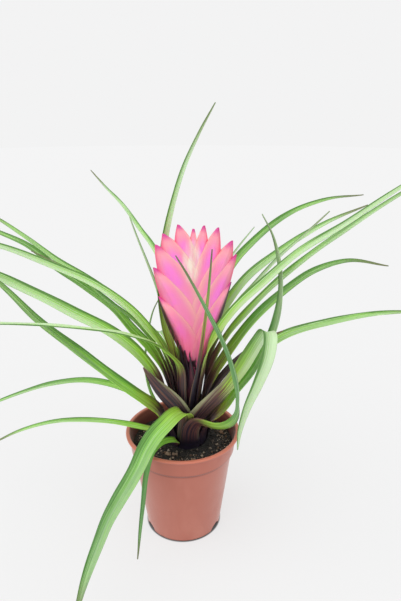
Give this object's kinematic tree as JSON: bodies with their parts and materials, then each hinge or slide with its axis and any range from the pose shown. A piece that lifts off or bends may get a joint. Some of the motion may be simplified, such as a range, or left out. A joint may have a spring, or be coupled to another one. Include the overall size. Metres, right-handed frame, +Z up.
{
  "type": "potted bromeliad",
  "caption": "Potted pink quill: a flat spike of overlapping pink bracts in a rosette of long arching strap leaves, standing in a small terracotta-coloured plastic pot of peat.",
  "frame": {"origin": "centre of the underside of the pot's floor, on the surface that the pot stands on", "axes": "+Z up along the pot's axis, -Y towards the front, where the flat side of the flower spike faces, +X to the right of that view"},
  "size_m": [0.3969, 0.3097, 0.3303],
  "materials": {
    "terracotta_plastic": "satin injection-moulded plastic, terracotta colour",
    "peat": "damp crumbly peat with bark chips",
    "stem_purple": "smooth dark purple plant tissue",
    "bract_pink": "smooth, slightly translucent pink bracts with peach margins",
    "leaf_green": "smooth green leaf, purple-brown lines towards its base"
  },
  "bodies": {
    "root": {"pot": "terracotta_plastic", "potting_soil": "peat", "flower_stem": "stem_purple", "quill": "bract_pink", "leaf_back_left_arch": "leaf_green", "leaf_back_left_thread": "leaf_green", "leaf_back_riser": "leaf_green", "leaf_left_far_arch": "leaf_green", "leaf_left_dark": "leaf_green", "leaf_left_slim_pair": "leaf_green", "leaf_left_light": "leaf_green", "leaf_left_broad": "leaf_green", "leaf_left_short_sheath": "leaf_green", "leaf_left_stiff": "leaf_green", "leaf_left_front_thread": "leaf_green", "leaf_left_low_arch": "leaf_green", "leaf_left_lowest": "leaf_green", "leaf_left_bow": "leaf_green", "leaf_front_strap": "leaf_green", "leaf_front_narrow": "leaf_green", "leaf_front_kinked": "leaf_green", "leaf_front_thread": "leaf_green", "leaf_right_top_arch": "leaf_green", "leaf_right_thread": "leaf_green", "leaf_right_curl": "leaf_green", "leaf_right_upper": "leaf_green", "leaf_right_slim": "leaf_green", "leaf_right_long": "leaf_green", "leaf_right_long_low": "leaf_green", "leaf_right_arch": "leaf_green", "leaf_right_far": "leaf_green", "leaf_right_folded": "leaf_green", "leaf_right_dark_slim": "leaf_green", "leaf_back_droop_right": "leaf_green", "leaf_back_droop_left": "leaf_green"}
  },
  "joints": []
}
